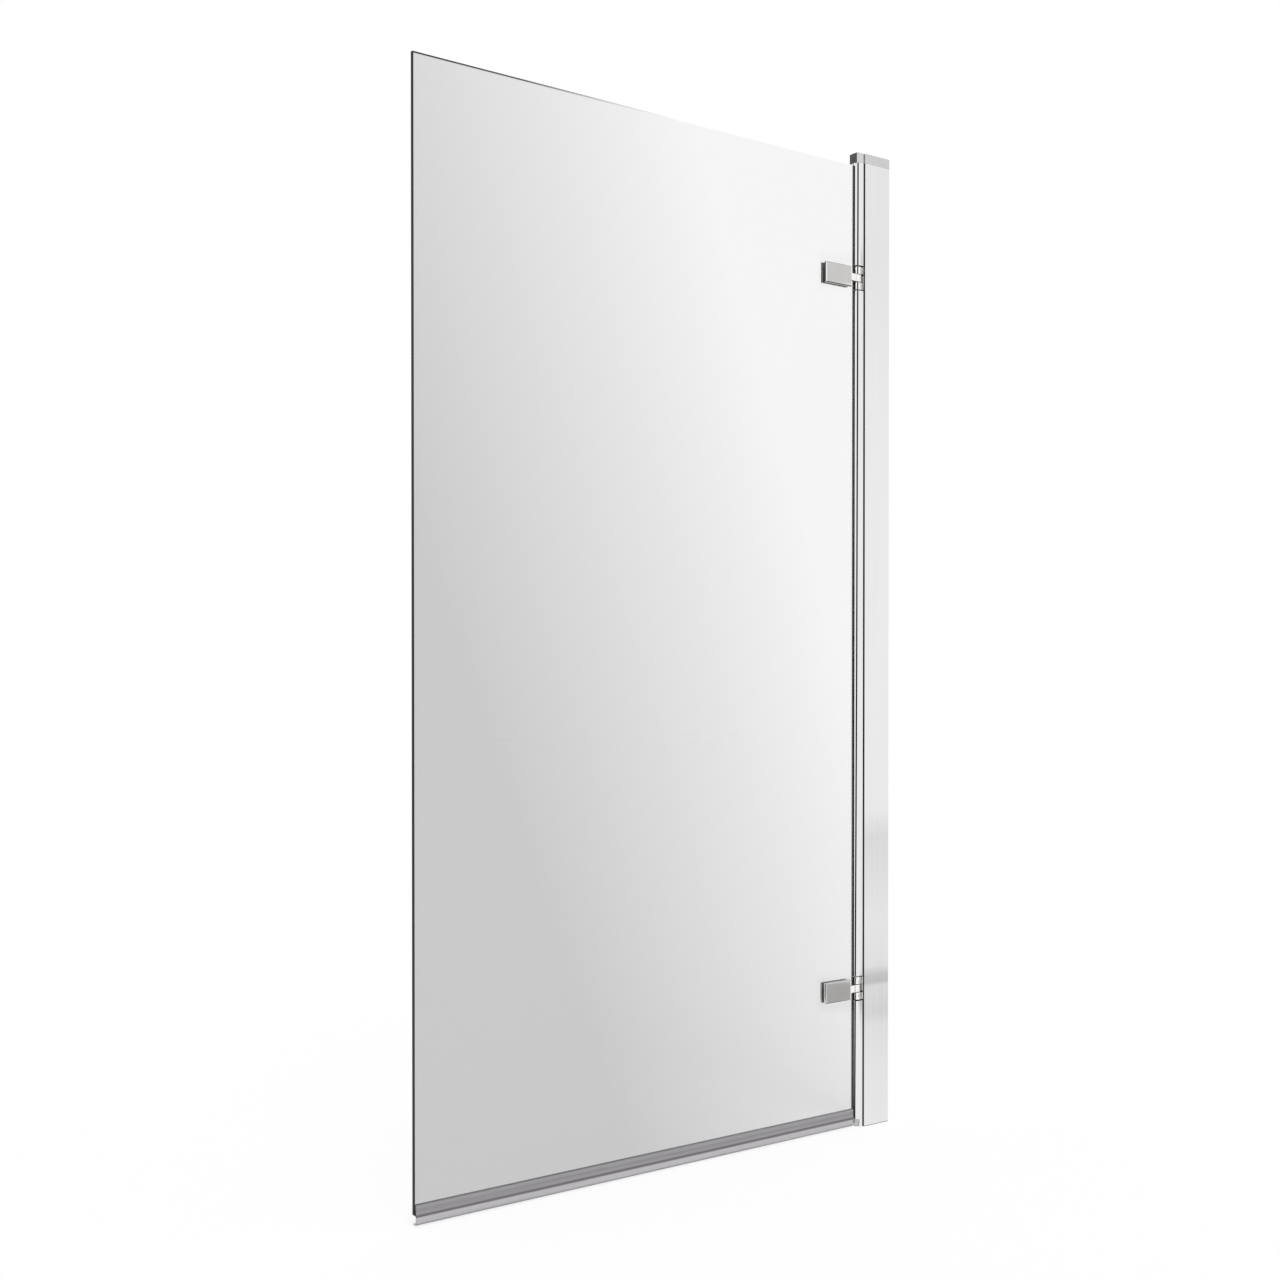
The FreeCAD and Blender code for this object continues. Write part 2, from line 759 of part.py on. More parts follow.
def bevel_face(made, face):
    """Bevels every edge that lies in the plane Y = face."""
    dress(
        made,
        "Chamfer",
        "bevel",
        "clamp_bevel",
        lambda box: near(box.YMin, face) and near(box.YMax, face),
    )


def back_clamp(level):
    made = new_body(f"{level}_back_clamp")
    plate = new_sketch(made, "plate", front, "-clamp_face")
    clamp_outline(plate)
    pad(made, "plate", plate, "clamp_plate")
    bevel_face(made, number("clamp_face"))
    holes = new_sketch(made, "holes", front, f"-clamp_face - {clear}")
    heads = new_sketch(made, "heads", front, "clamp_screw_head_height - clamp_face")
    for across in screw_places():
        circle(holes, across, "0", "2 * screw_clearance")
        circle(heads, across, "0", "clamp_screw_head + 2 * hole_gap")
    pocket(made, "holes", holes, f"clamp_plate + 2 * {clear}", backwards=True)
    pocket(made, "heads", heads, f"clamp_screw_head_height + {clear}")
    return on_hinge(made, level)


def clamp_gasket(level, face, low):
    """Soft pad between a clamp plate and the glass. low is the offset of its side towards the bath."""
    made = new_body(f"{level}_{face}_gasket")
    pad_outline = new_sketch(made, "pad", front, low)
    clamp_outline(pad_outline, "gasket_inset")
    for across in screw_places():
        circle(pad_outline, across, "0", "2 * screw_clearance")
    pad(made, "pad", pad_outline, "gasket")
    return on_hinge(made, level)


def hole_sleeves(level):
    members = []
    for index, across in enumerate(screw_places(), start=1):
        along = (across, "-glass_face", "0")
        outer = cylinder(
            f"{level}_sleeve_body_{index}", "2 * screw_clearance + 2 * sleeve_wall",
            "glass_thickness", "Y", along,
        )
        bore = cylinder(
            f"{level}_sleeve_bore_{index}", "2 * screw_clearance", "glass_thickness", "Y", along
        )
        members.append(joined(f"{level}_sleeve_{index}", "Cut", outer, bore))
    return on_hinge(group(f"{level}_hole_sleeves", members), level)


def clamp_screws(level):
    """Flat-headed screws from the bath side, each with a hexagon socket."""
    members = []
    under_head = "clamp_face - clamp_screw_head_height"
    for index, across in enumerate(screw_places(), start=1):
        tip = "clamp_screw_end + fit_gap - clamp_face"
        shank = cylinder(
            f"{level}_clamp_shank_{index}", "clamp_screw", f"{under_head} - ({tip})", "Y",
            (across, tip, "0"),
        )
        head = cylinder(
            f"{level}_clamp_head_{index}", "clamp_screw_head", "clamp_screw_head_height", "Y",
            (across, under_head, "0"),
        )
        blank = joined(f"{level}_clamp_blank_{index}", "Fuse", shank, head)
        socket = doc.addObject("Part::Prism", f"{level}_socket_{index}")
        turned(socket, Vector(1, 0, 0), -quarter_turn)
        socket.Polygon = 6
        bind(socket, "Circumradius", "driver_socket / 2")
        bind(socket, "Height", "driver_socket_depth")
        place(socket, (across, "clamp_face - driver_socket_depth", "0"))
        members.append(joined(f"{level}_clamp_screw_{index}", "Cut", blank, socket))
    return on_hinge(group(f"{level}_clamp_screws", members), level)


# --- the pane and its seal ---


def glass_panel():
    made = new_body("glass_panel")
    sheet_outline = new_sketch(made, "pane", front, "-glass_face")
    rectangle(
        sheet_outline,
        "-glass_from_pin - glass_width",
        "-glass_from_pin",
        "glass_lift",
        "glass_lift + glass_height",
    )
    pad(made, "pane", sheet_outline, "glass_thickness")
    faces = number("glass_face")
    dress(
        made, "Chamfer", "ground_edge", "glass_bevel",
        lambda box: near(abs(box.YMin), faces) and near(box.YMin, box.YMax),
    )
    holes = new_sketch(made, "clamp_holes", front, f"-glass_face - {clear}")
    for height in hinge_levels.values():
        for across in screw_places():
            circle(holes, across, height, "2 * (screw_clearance + sleeve_wall + hole_gap)")
    pocket(made, "clamp_holes", holes, f"glass_thickness + 2 * {clear}", backwards=True)
    return on_post(made)


def bottom_seal():
    """Clear strip that grips the bottom edge of the glass, with a lip that turns water to the bath."""
    made = new_body("bottom_seal")
    section = new_sketch(made, "section", side, "seal_inset - glass_from_pin - glass_width")
    leg_top, web_low = "glass_lift + seal_leg", "glass_lift - seal_web"
    bend, bend_high = "lip_bend - seal_outside", "seal_rim_gap + lip_bend"
    outline(
        section,
        [
            ("-seal_outside", leg_top),
            ("-seal_outside", bend_high),
            (bend, "seal_rim_gap"),
            ("lip_reach", "seal_rim_gap"),
            ("lip_reach", "seal_rim_gap + lip_wall"),
            (bend, "seal_rim_gap + lip_wall"),
            ("lip_wall - seal_outside", bend_high),
            ("lip_wall - seal_outside", web_low),
            ("seal_outside", web_low),
            ("seal_outside", leg_top),
            ("seal_inside", leg_top),
            ("seal_inside", "glass_lift"),
            ("-seal_inside", "glass_lift"),
            ("-seal_inside", leg_top),
        ],
        {1: (bend, bend_high, True), 5: (bend, bend_high, False)},
    )
    pad(made, "strip", section, "glass_width + nose_gap - seal_inset - seal_nose_gap")
    return on_post(made)


def build():
    parts = [wall_profile(), wall_profile_cap()]
    parts += [hinge_profile(), hinge_profile_cap(), hinge_profile_foot()]
    parts += [lock_screws(), lock_screw_washers(), lock_screw_covers()]
    parts += [glass_panel(), bottom_seal()]
    for level in hinge_levels:
        parts += [hinge_leaf(level), leaf_screws(level), hinge_pin(level), thrust_washers(level)]
        parts += [knuckle_bush(level), front_clamp(level), back_clamp(level)]
        parts += [
            clamp_gasket(level, "front", "glass_face"),
            clamp_gasket(level, "back", "-gasket_face"),
        ]
        parts += [hole_sleeves(level), clamp_screws(level)]
    return parts


def check(parts):
    failed = [item.Name for item in doc.Objects if {"Invalid", "Error"} & set(item.State)]
    for item in parts:
        if item.Shape.isNull() or not item.Shape.isValid():
            failed.append(item.Label)
    if failed:
        raise RuntimeError("failed: " + ", ".join(failed))


parts = build()
doc.recompute()
check(parts)
os.makedirs("parts", exist_ok=True)
for item in parts:
    item.Shape.exportStep(f"parts/{item.Label}.step")
    box = item.Shape.BoundBox
    print(
        f"{item.Label:24s} solids {len(item.Shape.Solids)}  volume {item.Shape.Volume:12.1f}"
        f"  X {box.XMin:8.2f} {box.XMax:8.2f}  Y {box.YMin:7.2f} {box.YMax:7.2f}"
        f"  Z {box.ZMin:8.2f} {box.ZMax:8.2f}"
    )
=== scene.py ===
import json
import math

import bmesh
import bpy
from mathutils import Matrix, Vector


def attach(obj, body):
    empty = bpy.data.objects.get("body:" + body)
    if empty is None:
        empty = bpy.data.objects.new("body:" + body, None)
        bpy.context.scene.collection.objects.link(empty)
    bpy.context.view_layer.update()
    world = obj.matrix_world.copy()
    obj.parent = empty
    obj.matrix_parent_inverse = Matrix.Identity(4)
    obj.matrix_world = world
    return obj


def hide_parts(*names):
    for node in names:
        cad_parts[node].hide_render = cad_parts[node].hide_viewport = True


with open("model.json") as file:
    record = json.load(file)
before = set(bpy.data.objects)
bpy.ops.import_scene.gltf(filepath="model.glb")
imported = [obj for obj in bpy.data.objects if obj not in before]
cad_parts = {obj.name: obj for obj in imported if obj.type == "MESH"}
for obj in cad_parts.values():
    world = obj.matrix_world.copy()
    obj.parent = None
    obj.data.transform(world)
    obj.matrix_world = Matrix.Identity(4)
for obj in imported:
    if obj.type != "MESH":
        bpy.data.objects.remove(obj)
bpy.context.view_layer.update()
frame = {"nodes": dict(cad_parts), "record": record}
nodes = frame["nodes"]
record = frame["record"]
bodyOf = {node: body for body, members in record["behaviour"]["bodies"].items() for node in members}
slotOf = {part["node"]: part["material_slot"] for part in record["subparts"]}

mm = 0.001
pinX = -57.0  # hinge pin axis, in millimetres
hingeLevels = {"upper": 1250.0, "lower": 205.0}
plain = (1, 1, 1)  # a pattern that isn't stretched


# shader helpers

def newMaterial(name):
    made = bpy.data.materials.new(name)
    made.use_nodes = True
    tree = made.node_tree
    return made, tree, tree.nodes["Principled BSDF"]


def addNode(tree, kind, place=(0, 0), **values):
    # each value goes to the input of its name, or else to the setting of its name
    made = tree.nodes.new(kind)
    made.location = place
    for name, value in values.items():
        if name in made.inputs:
            made.inputs[name].default_value = value
        else:
            setattr(made, name, value)
    return made


def feed(tree, socket, value):
    # links an output to the socket, or sets a plain value on it
    if isinstance(value, bpy.types.NodeSocket):
        tree.links.new(value, socket)
    else:
        socket.default_value = value


def mathNode(tree, operation, *values, place=(-500, 0)):
    made = addNode(tree, "ShaderNodeMath", place, operation=operation)
    for socket, value in zip(made.inputs, values):
        feed(tree, socket, value)
    return made.outputs[0]


def spreadRange(tree, source, start, end, low=0.0, high=1.0, place=(-600, 0)):
    spread = addNode(tree, "ShaderNodeMapRange", place)
    limits = {"From Min": start, "From Max": end, "To Min": low, "To Max": high, "Value": source}
    for name, value in limits.items():
        feed(tree, spread.inputs[name], value)
    return spread.outputs["Result"]


def mixColours(tree, first, second, share=1.0, blend="MIX", place=(-200, 0)):
    made = addNode(tree, "ShaderNodeMix", place, data_type="RGBA", blend_type=blend)
    factor, a, b = made.inputs["Factor"], made.inputs[6], made.inputs[7]
    for socket, value in ((factor, share), (a, first), (b, second)):
        feed(tree, socket, value)
    return made.outputs[2]


def mixShaders(tree, share, first, second, place=(300, 0)):
    made = addNode(tree, "ShaderNodeMixShader", place)
    for socket, value in zip(made.inputs, (share, first, second)):
        feed(tree, socket, value)
    return made.outputs["Shader"]


def objectNoise(tree, scale, stretch=plain, detail=3.0, row=0):
    # noise on object coordinates, so that it stays on the piece
    coords = addNode(tree, "ShaderNodeTexCoord", (-1100, row))
    mapping = addNode(tree, "ShaderNodeMapping", (-900, row), Scale=stretch)
    noise = addNode(tree, "ShaderNodeTexNoise", (-700, row), Scale=scale, Detail=detail, Roughness=0.55)
    tree.links.new(coords.outputs["Object"], mapping.inputs["Vector"])
    tree.links.new(mapping.outputs["Vector"], noise.inputs["Vector"])
    return noise.outputs["Fac"]


def colourRamp(tree, source, stops, place=(-450, 0)):
    # stops are (position, colour or grey)
    ramp = addNode(tree, "ShaderNodeValToRGB", place)
    elements = ramp.color_ramp.elements
    for index, (position, tone) in enumerate(stops):
        stop = elements[index] if index < 2 else elements.new(position)
        stop.position = position
        stop.color = (*tone, 1) if isinstance(tone, tuple) else (tone, tone, tone, 1)
    tree.links.new(source, ramp.inputs["Fac"])
    return ramp.outputs["Color"]


noiseLow, noiseHigh = 0.3, 0.7  # the range that nearly all of a noise lies in


def spreadColour(tree, source, first, second, row=0):
    return colourRamp(tree, source, [(noiseLow, first), (noiseHigh, second)], (-450, row))


def positionRamp(tree, slope, offset, stops, row=0):
    # a ramp along one direction of the object, in metres
    coords = addNode(tree, "ShaderNodeTexCoord", (-1100, row))
    along = addNode(tree, "ShaderNodeVectorMath", (-900, row), operation="DOT_PRODUCT")
    along.inputs[1].default_value = slope
    tree.links.new(coords.outputs["Object"], along.inputs[0])
    shifted = mathNode(tree, "ADD", along.outputs["Value"], offset, place=(-700, row))
    return colourRamp(tree, shifted, stops, (-500, row))


def addBump(tree, shader, height, strength, distance):
    bump = addNode(tree, "ShaderNodeBump", (-250, -500), Strength=strength, Distance=distance)
    tree.links.new(height, bump.inputs["Height"])
    tree.links.new(bump.outputs["Normal"], shader.inputs["Normal"])


def makeSurface(name, finish):
    # colour and gloss follow one pattern, and the bump follows the grain or that same pattern
    made, tree, shader = newMaterial(name)
    for socket, value in finish.get("sockets", {}).items():
        shader.inputs[socket].default_value = value
    pattern = objectNoise(tree, *finish["pattern"])
    tint = spreadColour(tree, pattern, finish["shade"], finish["light"], 200)
    if "tone" in finish:
        tint = mixColours(tree, positionRamp(tree, *finish["tone"], 500), tint, blend="MULTIPLY")
    tree.links.new(tint, shader.inputs["Base Color"])
    if "roughness" in finish:
        gloss = spreadRange(tree, pattern, noiseLow, noiseHigh, *finish["roughness"], place=(-450, 0))
        tree.links.new(gloss, shader.inputs["Roughness"])
    if "bump" in finish:
        grain = objectNoise(tree, *finish["grain"], -400) if "grain" in finish else pattern
        addBump(tree, shader, grain, *finish["bump"])
    return made, tree, shader


def showInstead(tree, shown):
    tree.links.new(shown, tree.nodes["Material Output"].inputs["Surface"])


# metals: a pattern or grain is its scale, how it is stretched and its detail

chromeFinish = {
    "light": (0.93, 0.915, 0.895),
    "shade": (0.90, 0.885, 0.865),
    "roughness": (0.015, 0.03),
    "pattern": (38.0, plain, 5.0),
    "grain": (900.0, (1, 1, 0.08), 2.0),
    "bump": (0.03, 0.00002),
    "sockets": {"Metallic": 1.0},
}

noseFinish = {
    "light": (0.84, 0.835, 0.84),
    "shade": (0.81, 0.805, 0.81),
    "roughness": (0.04, 0.07),
    "pattern": (12.0, plain, 5.0),
    "grain": (900.0, (1, 1, 0.08), 2.0),
    "bump": (0.02, 0.00002),
    "sockets": {"Metallic": 1.0},
}

# drawn lines run the length of the extrusion, with soft grey bands of painted reflection beside and above
# the lower hinge
paintedReflectionFrom, paintedReflectionReach = 0.1, 0.4  # metres over the rim
drawnFinish = {
    "light": (0.85, 0.845, 0.852),
    "shade": (0.82, 0.815, 0.822),
    "roughness": (0.13, 0.18),
    "pattern": (1.0, (520, 520, 3.2), 4.0),
    "bump": (0.05, 0.00003),
    # painted reflection: darker bands by height beside and above the lower hinge
    "tone": (
        (0, 0, 1 / paintedReflectionReach), -paintedReflectionFrom / paintedReflectionReach,
        [
            (0.12, 1.0), (0.165, 0.90), (0.24, 0.96), (0.265, 0.96), (0.28, 0.72), (0.305, 0.76),
            (0.34, 1.0), (0.52, 1.0), (0.70, 0.92), (0.82, 0.87), (0.92, 1.0),
        ],
    ),
    "sockets": {"Metallic": 1.0},
}

# painted shade: a near-black finish for the mouth edges, the channel behind them and a thin line at the
# foot of the wall profile, where shade falls
paintedShadeFinish = {
    "light": (0.10, 0.10, 0.10),
    "shade": (0.06, 0.06, 0.06),
    "roughness": (0.3, 0.45),
    "pattern": (1.0, (900, 900, 6.0), 4.0),
    "bump": (0.05, 0.00003),
    "sockets": {"Metallic": 1.0},
}

satinFinish = {
    "light": (0.68, 0.675, 0.68),
    "shade": (0.64, 0.635, 0.64),
    "roughness": (0.20, 0.28),
    "pattern": (60.0, plain, 3.0),
    "grain": (2600.0, plain, 2.0),
    "bump": (0.04, 0.00002),
    "sockets": {"Metallic": 0.9},
}

platedFinish = {
    "light": (0.72, 0.715, 0.72),
    "shade": (0.67, 0.665, 0.67),
    "roughness": (0.08, 0.12),
    "pattern": (60.0, plain, 3.0),
    "grain": (2600.0, plain, 2.0),
    "bump": (0.04, 0.00002),
    "sockets": {"Metallic": 0.9},
}

steelFinish = {
    "light": (0.66, 0.66, 0.67),
    "shade": (0.52, 0.52, 0.53),
    "roughness": (0.22, 0.36),
    "pattern": (1500.0, plain, 2.0),
    "bump": (0.08, 0.00005),
    "sockets": {"Metallic": 1.0},
}


# plastics

nylonFinish = {
    "light": (0.86, 0.86, 0.83),
    "shade": (0.80, 0.80, 0.77),
    "roughness": (0.38, 0.5),
    "pattern": (120.0, plain, 4.0),
    "bump": (0.1, 0.0001),
}

# painted shade: the washers sit deep between the knuckles, so they are darkened to show the shade in those
# gaps
paintedShadeNylonFinish = {
    "light": (0.16, 0.155, 0.15),
    "shade": (0.11, 0.105, 0.10),
    "roughness": (0.4, 0.5),
    "pattern": (300.0, plain, 4.0),
    "bump": (0.1, 0.0001),
}

gasketFinish = {
    "light": (0.20, 0.20, 0.205),
    "shade": (0.15, 0.15, 0.155),
    "roughness": (0.5, 0.65),
    "pattern": (200.0, plain, 4.0),
    "bump": (0.1, 0.0001),
}

sealTop = 0.028  # metres over the rim
vinylFinish = {
    "light": (1.0, 1.0, 1.0),
    "shade": (0.86, 0.86, 0.87),
    "roughness": (0.14, 0.26),
    "pattern": (1.0, (4, 260, 420), 3.0),
    "bump": (0.08, 0.00008),
    # painted shade and reflection bands by height: light below, dark at the middle shelf and at the top
    # lip, mid greys between
    "tone": (
        (0, 0, 1 / sealTop), 0.0,
        [
            (0.0, (0.86, 0.84, 0.875)),
            (0.40, (0.88, 0.855, 0.89)),
            (0.45, (0.30, 0.27, 0.28)),
            (0.52, (0.30, 0.27, 0.28)),
            (0.58, (0.66, 0.635, 0.67)),
            (0.76, (0.56, 0.54, 0.57)),
            (0.90, (0.72, 0.70, 0.73)),
            (0.97, (0.40, 0.39, 0.41)),
        ],
    ),
    "sockets": {"Transmission Weight": 0.30, "IOR": 1.45},
}


# glass

glassFinish = {
    "light": (1.0, 1.0, 1.0),
    "shade": (0.992, 0.994, 0.993),
    "pattern": (1.6, plain, 2.0),
    # painted reflection: the pane darkens towards its free edge and its foot; how fast the tone rises with
    # X and Z, per metre, then where it starts and its ends
    "tone": ((0.5315, 0.0, 0.2056), 0.8164, [(0.575, 0.575), (0.915, 0.915)]),
    "sockets": {"Transmission Weight": 1.0, "Roughness": 0.0, "IOR": 1.52},
    "shadow": (0.93, 0.94, 0.935),
}

# painted reflection: the side and bottom edges of the pane are painted near-black green, standing in for
# the dark inner reflection of a glass edge
paintedEdgeReflectionFinish = {
    "light": (0.038, 0.047, 0.038),
    "shade": (0.030, 0.038, 0.030),
    "roughness": (0.22, 0.28),
    "pattern": (1800.0, plain, 3.0),
    "bump": (0.04, 0.00001),
    "sockets": {"Specular IOR Level": 0.1},
}

# painted reflection: the top edge is painted near-black green, clearing along its width towards the hinge
topEdgeFinish = {
    "light": (0.032, 0.04, 0.032),
    "shade": (0.0272, 0.034, 0.0272),
    "roughness": (0.22, 0.28),
    "pattern": (1800.0, plain, 3.0),
    "sockets": {"Specular IOR Level": 0.1},
    "from": 0.785,
    "width": 0.72,
    "clearing": [(0.0, 0.0), (0.22, 0.1), (0.42, 0.75), (0.55, 1.0)],  # by the share of the width
}


def clearGlass(name, finish):
    # light passes the pane with little loss, so that its shadow stays pale
    made, tree, shader = makeSurface(name, finish)
    lightPath = addNode(tree, "ShaderNodeLightPath", (0, 400))
    pale = addNode(tree, "ShaderNodeBsdfTransparent", (0, -400), Color=(*finish["shadow"], 1))
    shadowRay = lightPath.outputs["Is Shadow Ray"]
    showInstead(tree, mixShaders(tree, shadowRay, shader.outputs["BSDF"], pale.outputs["BSDF"]))
    return made


def topEdgeGlass(name, finish):
    # painted reflection: the top edge is dark towards the free corner and clears towards the hinge
    made, tree, shader = makeSurface(name, finish)
    width = finish["width"]
    clear = positionRamp(tree, (1 / width, 0, 0), finish["from"] / width, finish["clearing"], 400)
    through = addNode(tree, "ShaderNodeBsdfTransparent", (0, -400))
    showInstead(tree, mixShaders(tree, clear, shader.outputs["BSDF"], through.outputs["BSDF"]))
    return made


surfaces = {
    "drawnProfile": drawnFinish,
    "polishedChrome": chromeFinish,
    "satinSilver": satinFinish,
    "turnedSteel": steelFinish,
    "naturalNylon": nylonFinish,
    "softGasket": gasketFinish,
    "clearVinyl": vinylFinish,
    "polishedNose": noseFinish,
    "paintedShadeEdge": paintedShadeFinish,
    "platedCap": platedFinish,
    "paintedEdgeReflection": paintedEdgeReflectionFinish,
    "paintedShadeNylon": paintedShadeNylonFinish,
}
materials = {name: makeSurface(name, finish)[0] for name, finish in surfaces.items()}
materials["clearGlass"] = clearGlass("clearGlass", glassFinish)
materials["topEdge"] = topEdgeGlass("topEdge", topEdgeFinish)

# what each of the record's material slots shows
finishes = {
    "bright_profile": materials["drawnProfile"],
    "hinge_chrome": materials["polishedChrome"],
    "satin_cap": materials["satinSilver"],
    "stainless": materials["turnedSteel"],
    "nylon": materials["naturalNylon"],
    "gasket_rubber": materials["softGasket"],
    "clear_glass": materials["clearGlass"],
    "clear_seal": materials["clearVinyl"],
}
for node, slot in slotOf.items():
    nodes[node].data.materials.clear()
    nodes[node].data.materials.append(finishes[slot])
print("finishes made:", len(bpy.data.materials))


# modelling helpers, in millimetres

def vertsIn(result, key="geom"):
    return [item for item in result[key] if isinstance(item, bmesh.types.BMVert)]


def lineTo(bm, vert, x, y):
    end = bmesh.ops.extrude_vert_indiv(bm, verts=[vert])["verts"][0]
    end.co = (x, y, vert.co.z)
    return end


def arcTo(bm, vert, centre, degrees, steps):
    turned = bmesh.ops.spin(
        bm, geom=[vert], cent=(*centre, vert.co.z), axis=(0, 0, 1), angle=math.radians(degrees), steps=steps
    )
    return vertsIn(turned, "geom_last")[0]


def drawOutline(bm, start, moves, level=0.0):
    # a move is (x, y) for a line or (centre, degrees, steps) for an arc
    vert = bm.verts.new((*start, level))
    for move in moves:
        vert = lineTo(bm, vert, *move) if len(move) == 2 else arcTo(bm, vert, *move)


def addCircle(bm, radius, segments, x=0.0, z=0.0):
    place = Matrix.Translation((x, 0, z))
    bmesh.ops.create_circle(bm, radius=radius, segments=segments, matrix=place)


def fillAndRaise(bm, height, weld=0.02):
    # fills the outline, leaves its circles open and raises it into a solid
    bmesh.ops.remove_doubles(bm, verts=bm.verts, dist=weld)
    filled = bmesh.ops.triangle_fill(bm, use_beauty=True, use_dissolve=True, edges=bm.edges[:])
    faces = [item for item in filled["geom"] if isinstance(item, bmesh.types.BMFace)]
    raised = bmesh.ops.extrude_face_region(bm, geom=faces)
    shift(bm, z=height, verts=vertsIn(raised))
    bmesh.ops.recalc_face_normals(bm, faces=bm.faces)


def addBlock(bm, low, high):
    size = Vector(high) - Vector(low)
    middle = (Vector(high) + Vector(low)) / 2
    shape = Matrix.Translation(middle) @ Matrix.Diagonal((*size, 1))
    return bmesh.ops.create_cube(bm, size=1.0, matrix=shape)["verts"]


def bevelEdges(bm, edges, width, segments):
    bmesh.ops.bevel(
        bm, geom=edges, offset=width, offset_type="OFFSET", affect="EDGES", segments=segments,
        profile=0.5, material=-1, clamp_overlap=True,
    )


def sharpEdges(bm, above):
    limit = math.radians(above)
    return [edge for edge in bm.edges if len(edge.link_faces) == 2 and edge.calc_face_angle() > limit]


def soften(bm, width, segments=2, above=50.0):
    bevelEdges(bm, sharpEdges(bm, above), width, segments)


def cutAcross(bm, point, normal):
    everything = bm.verts[:] + bm.edges[:] + bm.faces[:]
    bmesh.ops.bisect_plane(bm, geom=everything, plane_co=point, plane_no=normal)


def drawHalf(bm, points):
    # half a section, each point a radius and a height
    vert = bm.verts.new((points[0][0], 0, points[0][1]))
    for radius, height in points[1:]:
        vert = bmesh.ops.extrude_vert_indiv(bm, verts=[vert])["verts"][0]
        vert.co = (radius, 0, height)


def spinRound(bm, steps=48, weld=0.001):
    bmesh.ops.spin(
        bm, geom=bm.verts[:] + bm.edges[:], cent=(0, 0, 0), axis=(0, 0, 1), angle=2 * math.pi,
        steps=steps, use_merge=True,
    )
    bmesh.ops.remove_doubles(bm, verts=bm.verts, dist=weld)


def shift(bm, x=0.0, y=0.0, z=0.0, verts=None):
    bmesh.ops.translate(bm, vec=(x, y, z), verts=verts or bm.verts)


def turn(bm, degrees, axis):
    matrix = Matrix.Rotation(math.radians(degrees), 3, axis)
    bmesh.ops.rotate(bm, cent=(0, 0, 0), matrix=matrix, verts=bm.verts)


def joinInto(bm, part):
    spare = bpy.data.meshes.new("spare")
    part.to_mesh(spare)
    part.free()
    bm.from_mesh(spare)
    bpy.data.meshes.remove(spare)


def mergedCopy(node, ease):
    # a copy of a CAD node, with its loose triangles merged and its edges eased
    bm = bmesh.new()
    bm.from_mesh(nodes[node].data)
    bmesh.ops.scale(bm, vec=(1 / mm, 1 / mm, 1 / mm), verts=bm.verts)
    bmesh.ops.remove_doubles(bm, verts=bm.verts, dist=0.002)
    bmesh.ops.dissolve_limit(bm, angle_limit=math.radians(0.5), verts=bm.verts, edges=bm.edges)
    soften(bm, ease, above=60.0)
    return bm


def finishPiece(bm, name, replaced, finish=None, crease=32.0):
    bmesh.ops.recalc_face_normals(bm, faces=bm.faces)
    bmesh.ops.scale(bm, vec=(mm, mm, mm), verts=bm.verts)
    mesh = bpy.data.meshes.new(name)
    bm.to_mesh(mesh)
    bm.free()
    mesh.polygons.foreach_set("use_smooth", [True] * len(mesh.polygons))
    mesh.set_sharp_from_angle(angle=math.radians(crease))
    mesh.materials.append(finish or finishes[slotOf[replaced]])
    piece = bpy.data.objects.new(name, mesh)
    bpy.context.scene.collection.objects.link(piece)
    flats = piece.modifiers.new("flatFaces", "WEIGHTED_NORMAL")  # wide faces stay flat beside eased edges
    flats.mode = "FACE_AREA"
    flats.weight = 90
    flats.keep_sharp = True
    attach(piece, bodyOf[replaced])
    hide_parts(replaced)
    return piece


# profiles

hingeProfileSize = {
    "low": 12.0,
    "high": 1418.5,
    "tail": -10.0,
    "nose": 7.6,
    "wall": 1.5,
    "web": (-47.0, -45.0),
    "rib": (-29.5, -20.5, 4.3),  # from and to along the profile's width, then its inner face
    "notchReach": 18.4,
    "notchMargin": 1.0,
    "notchBack": -50.6,
    "sink": 0.3,  # web and rib into the wall
    "ease": 0.15,
}


def makeHingeProfile(size):
    # a bent sheet with a half-round nose, notched at each hinge and then given its wall
    bm = bmesh.new()
    nose, low, high = size["nose"], size["low"], size["high"]
    bend = [(pinX, -nose), ((pinX, 0), -180, 36), (size["tail"], nose)]
    drawOutline(bm, (size["tail"], -nose), bend, low)
    sheet = bmesh.ops.extrude_edge_only(bm, edges=bm.edges[:])
    shift(bm, z=high - low, verts=vertsIn(sheet))
    reach, back = size["notchReach"], size["notchBack"]
    for level in hingeLevels.values():
        for side in (-1, 1):
            for away in (reach, reach + size["notchMargin"]):
                cutAcross(bm, (0, 0, level + side * away), (0, 0, 1))
    cutAcross(bm, (back, 0, 0), (1, 0, 0))
    notched = []
    for face in bm.faces:
        middle = face.calc_center_median()
        if middle.x < back and any(abs(middle.z - level) < reach for level in hingeLevels.values()):
            notched.append(face)
    bmesh.ops.delete(bm, geom=notched, context="FACES")
    bmesh.ops.recalc_face_normals(bm, faces=bm.faces)
    facingBath = [face for face in bm.faces if face.normal.y > 0.9][0]
    if facingBath.calc_center_median().y < 0:  # the open sheet has to point outwards
        bmesh.ops.reverse_faces(bm, faces=bm.faces)
    bmesh.ops.solidify(bm, geom=bm.faces[:], thickness=size["wall"])
    inner = nose - size["wall"] + size["sink"]
    webBack, webFront = size["web"]
    addBlock(bm, (webBack, -inner, low), (webFront, inner, high))
    ribBack, ribFront, ribFace = size["rib"]
    addBlock(bm, (ribBack, ribFace, low), (ribFront, inner, high))
    soften(bm, size["ease"])
    finishPiece(bm, "hingeProfile", "hinge_profile", materials["polishedNose"])


wallProfileSize = {
    "ease": 0.3,
    "mouth": -49.68,
    "channelBack": -2.1,
    "channelHalf": 8.05,
    "shadowLine": 0.8,  # height of the painted shadow line where it stands on the rim
}


